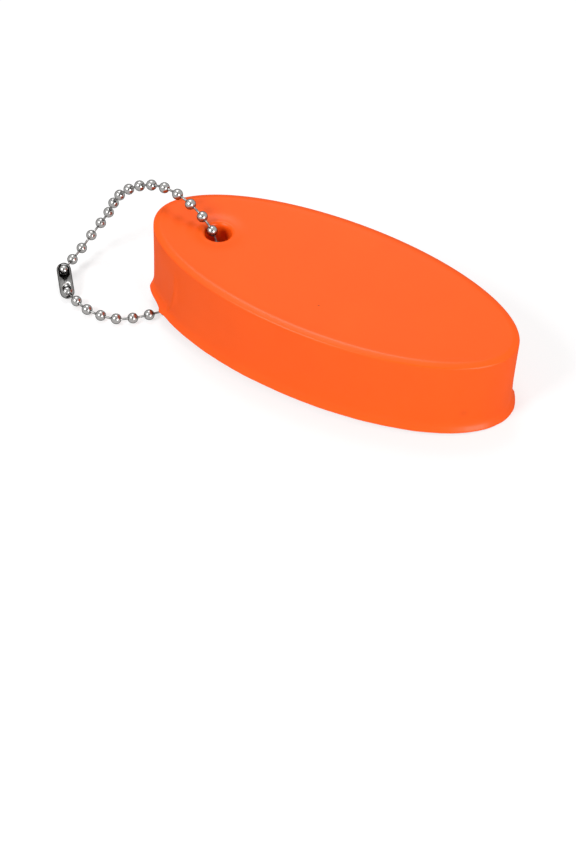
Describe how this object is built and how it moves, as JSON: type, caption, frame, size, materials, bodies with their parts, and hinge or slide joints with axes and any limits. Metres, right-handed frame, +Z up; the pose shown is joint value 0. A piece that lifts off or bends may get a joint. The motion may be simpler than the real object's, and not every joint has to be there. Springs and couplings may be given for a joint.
{
  "type": "floating keychain",
  "caption": "Oval foam key float with a ball chain through the hole near one end, closed by a stamped coupling.",
  "frame": {"origin": "on the surface it lies on, under the centre of its box", "axes": "+X along the float away from the chain, +Y across it, +Z up"},
  "size_m": [0.1076, 0.04, 0.0266],
  "materials": {
    "orange_foam": "closed-cell foam with a smooth satin skin",
    "plated_bead": "bright nickel plate",
    "drawn_wire": "bright plated wire",
    "stamped_plate": "bright nickel plate on stamped sheet"
  },
  "bodies": {
    "float": {"float": "orange_foam"},
    "chain": {"bead_01": "plated_bead", "bead_02": "plated_bead", "bead_03": "plated_bead", "bead_04": "plated_bead", "bead_05": "plated_bead", "bead_06": "plated_bead", "bead_07": "plated_bead", "bead_08": "plated_bead", "bead_09": "plated_bead", "bead_10": "plated_bead", "bead_11": "plated_bead", "bead_12": "plated_bead", "bead_13": "plated_bead", "bead_14": "plated_bead", "bead_15": "plated_bead", "bead_16": "plated_bead", "bead_17": "plated_bead", "bead_18": "plated_bead", "bead_19": "plated_bead", "bead_20": "plated_bead", "bead_21": "plated_bead", "bead_22": "plated_bead", "bead_23": "plated_bead", "bead_24": "plated_bead", "bead_25": "plated_bead", "bead_26": "plated_bead", "bead_27": "plated_bead", "bead_28": "plated_bead", "bead_29": "plated_bead", "bead_30": "plated_bead", "bead_31": "plated_bead", "link_01": "drawn_wire", "link_02": "drawn_wire", "link_03": "drawn_wire", "link_04": "drawn_wire", "link_05": "drawn_wire", "link_06": "drawn_wire", "link_07": "drawn_wire", "link_16": "drawn_wire", "link_17": "drawn_wire", "link_18": "drawn_wire", "link_19": "drawn_wire", "link_20": "drawn_wire", "link_21": "drawn_wire", "link_22": "drawn_wire", "link_23": "drawn_wire", "link_24": "drawn_wire", "link_25": "drawn_wire", "link_26": "drawn_wire", "link_27": "drawn_wire", "link_28": "drawn_wire", "link_29": "drawn_wire", "link_30": "drawn_wire", "coupling": "stamped_plate"}
  },
  "joints": [
    {"name": "chain_swing", "type": "hinge", "parent": "float", "child": "chain", "pos_m": [-0.01833, 0, 0.00249], "axis": [0.0336, 0.0218, 0.9992], "range_deg": [-60, 60]}
  ]
}
